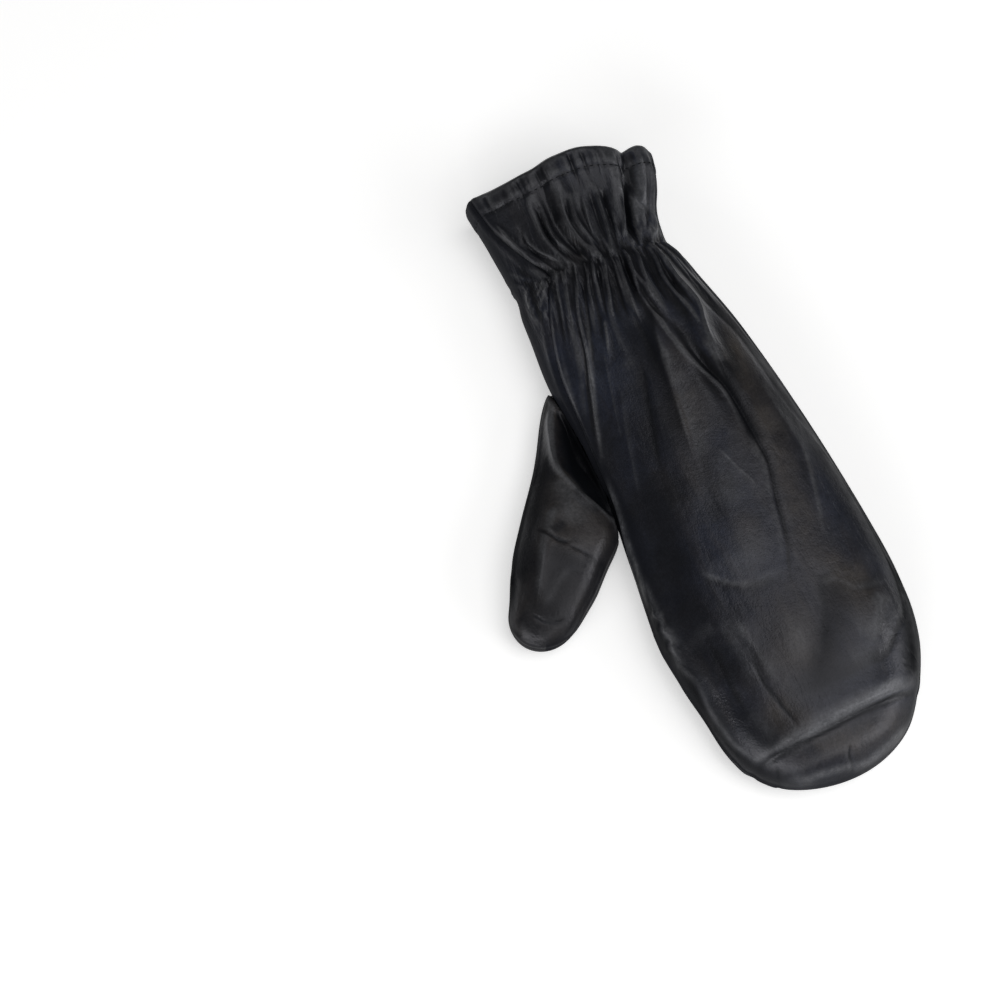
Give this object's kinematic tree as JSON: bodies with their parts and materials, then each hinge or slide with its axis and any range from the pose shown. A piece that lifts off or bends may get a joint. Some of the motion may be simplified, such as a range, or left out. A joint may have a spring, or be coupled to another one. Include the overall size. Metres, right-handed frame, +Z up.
{
  "type": "leather mitten with a gathered elastic wrist",
  "caption": "Lined leather mitten for the left hand, lying palm down: back and palm panels, gathered wrist, flared hemmed cuff, open hollow for hand and thumb",
  "frame": {"origin": "middle of the mitten's box, on the surface that it rests on", "axes": "+Y runs from the fingertips to the open cuff, -X is the thumb side, +Z is up, toward the back of the hand"},
  "size_m": [0.149, 0.285, 0.0374],
  "materials": {
    "navy_leather": "smooth dark navy-black nappa with a soft sheen, fine grain, brownish rubbed patches and fine creases"
  },
  "bodies": {
    "root": {"back_panel": "navy_leather", "palm_panel": "navy_leather", "thumb_outer": "navy_leather", "thumb_inner": "navy_leather"}
  },
  "joints": []
}
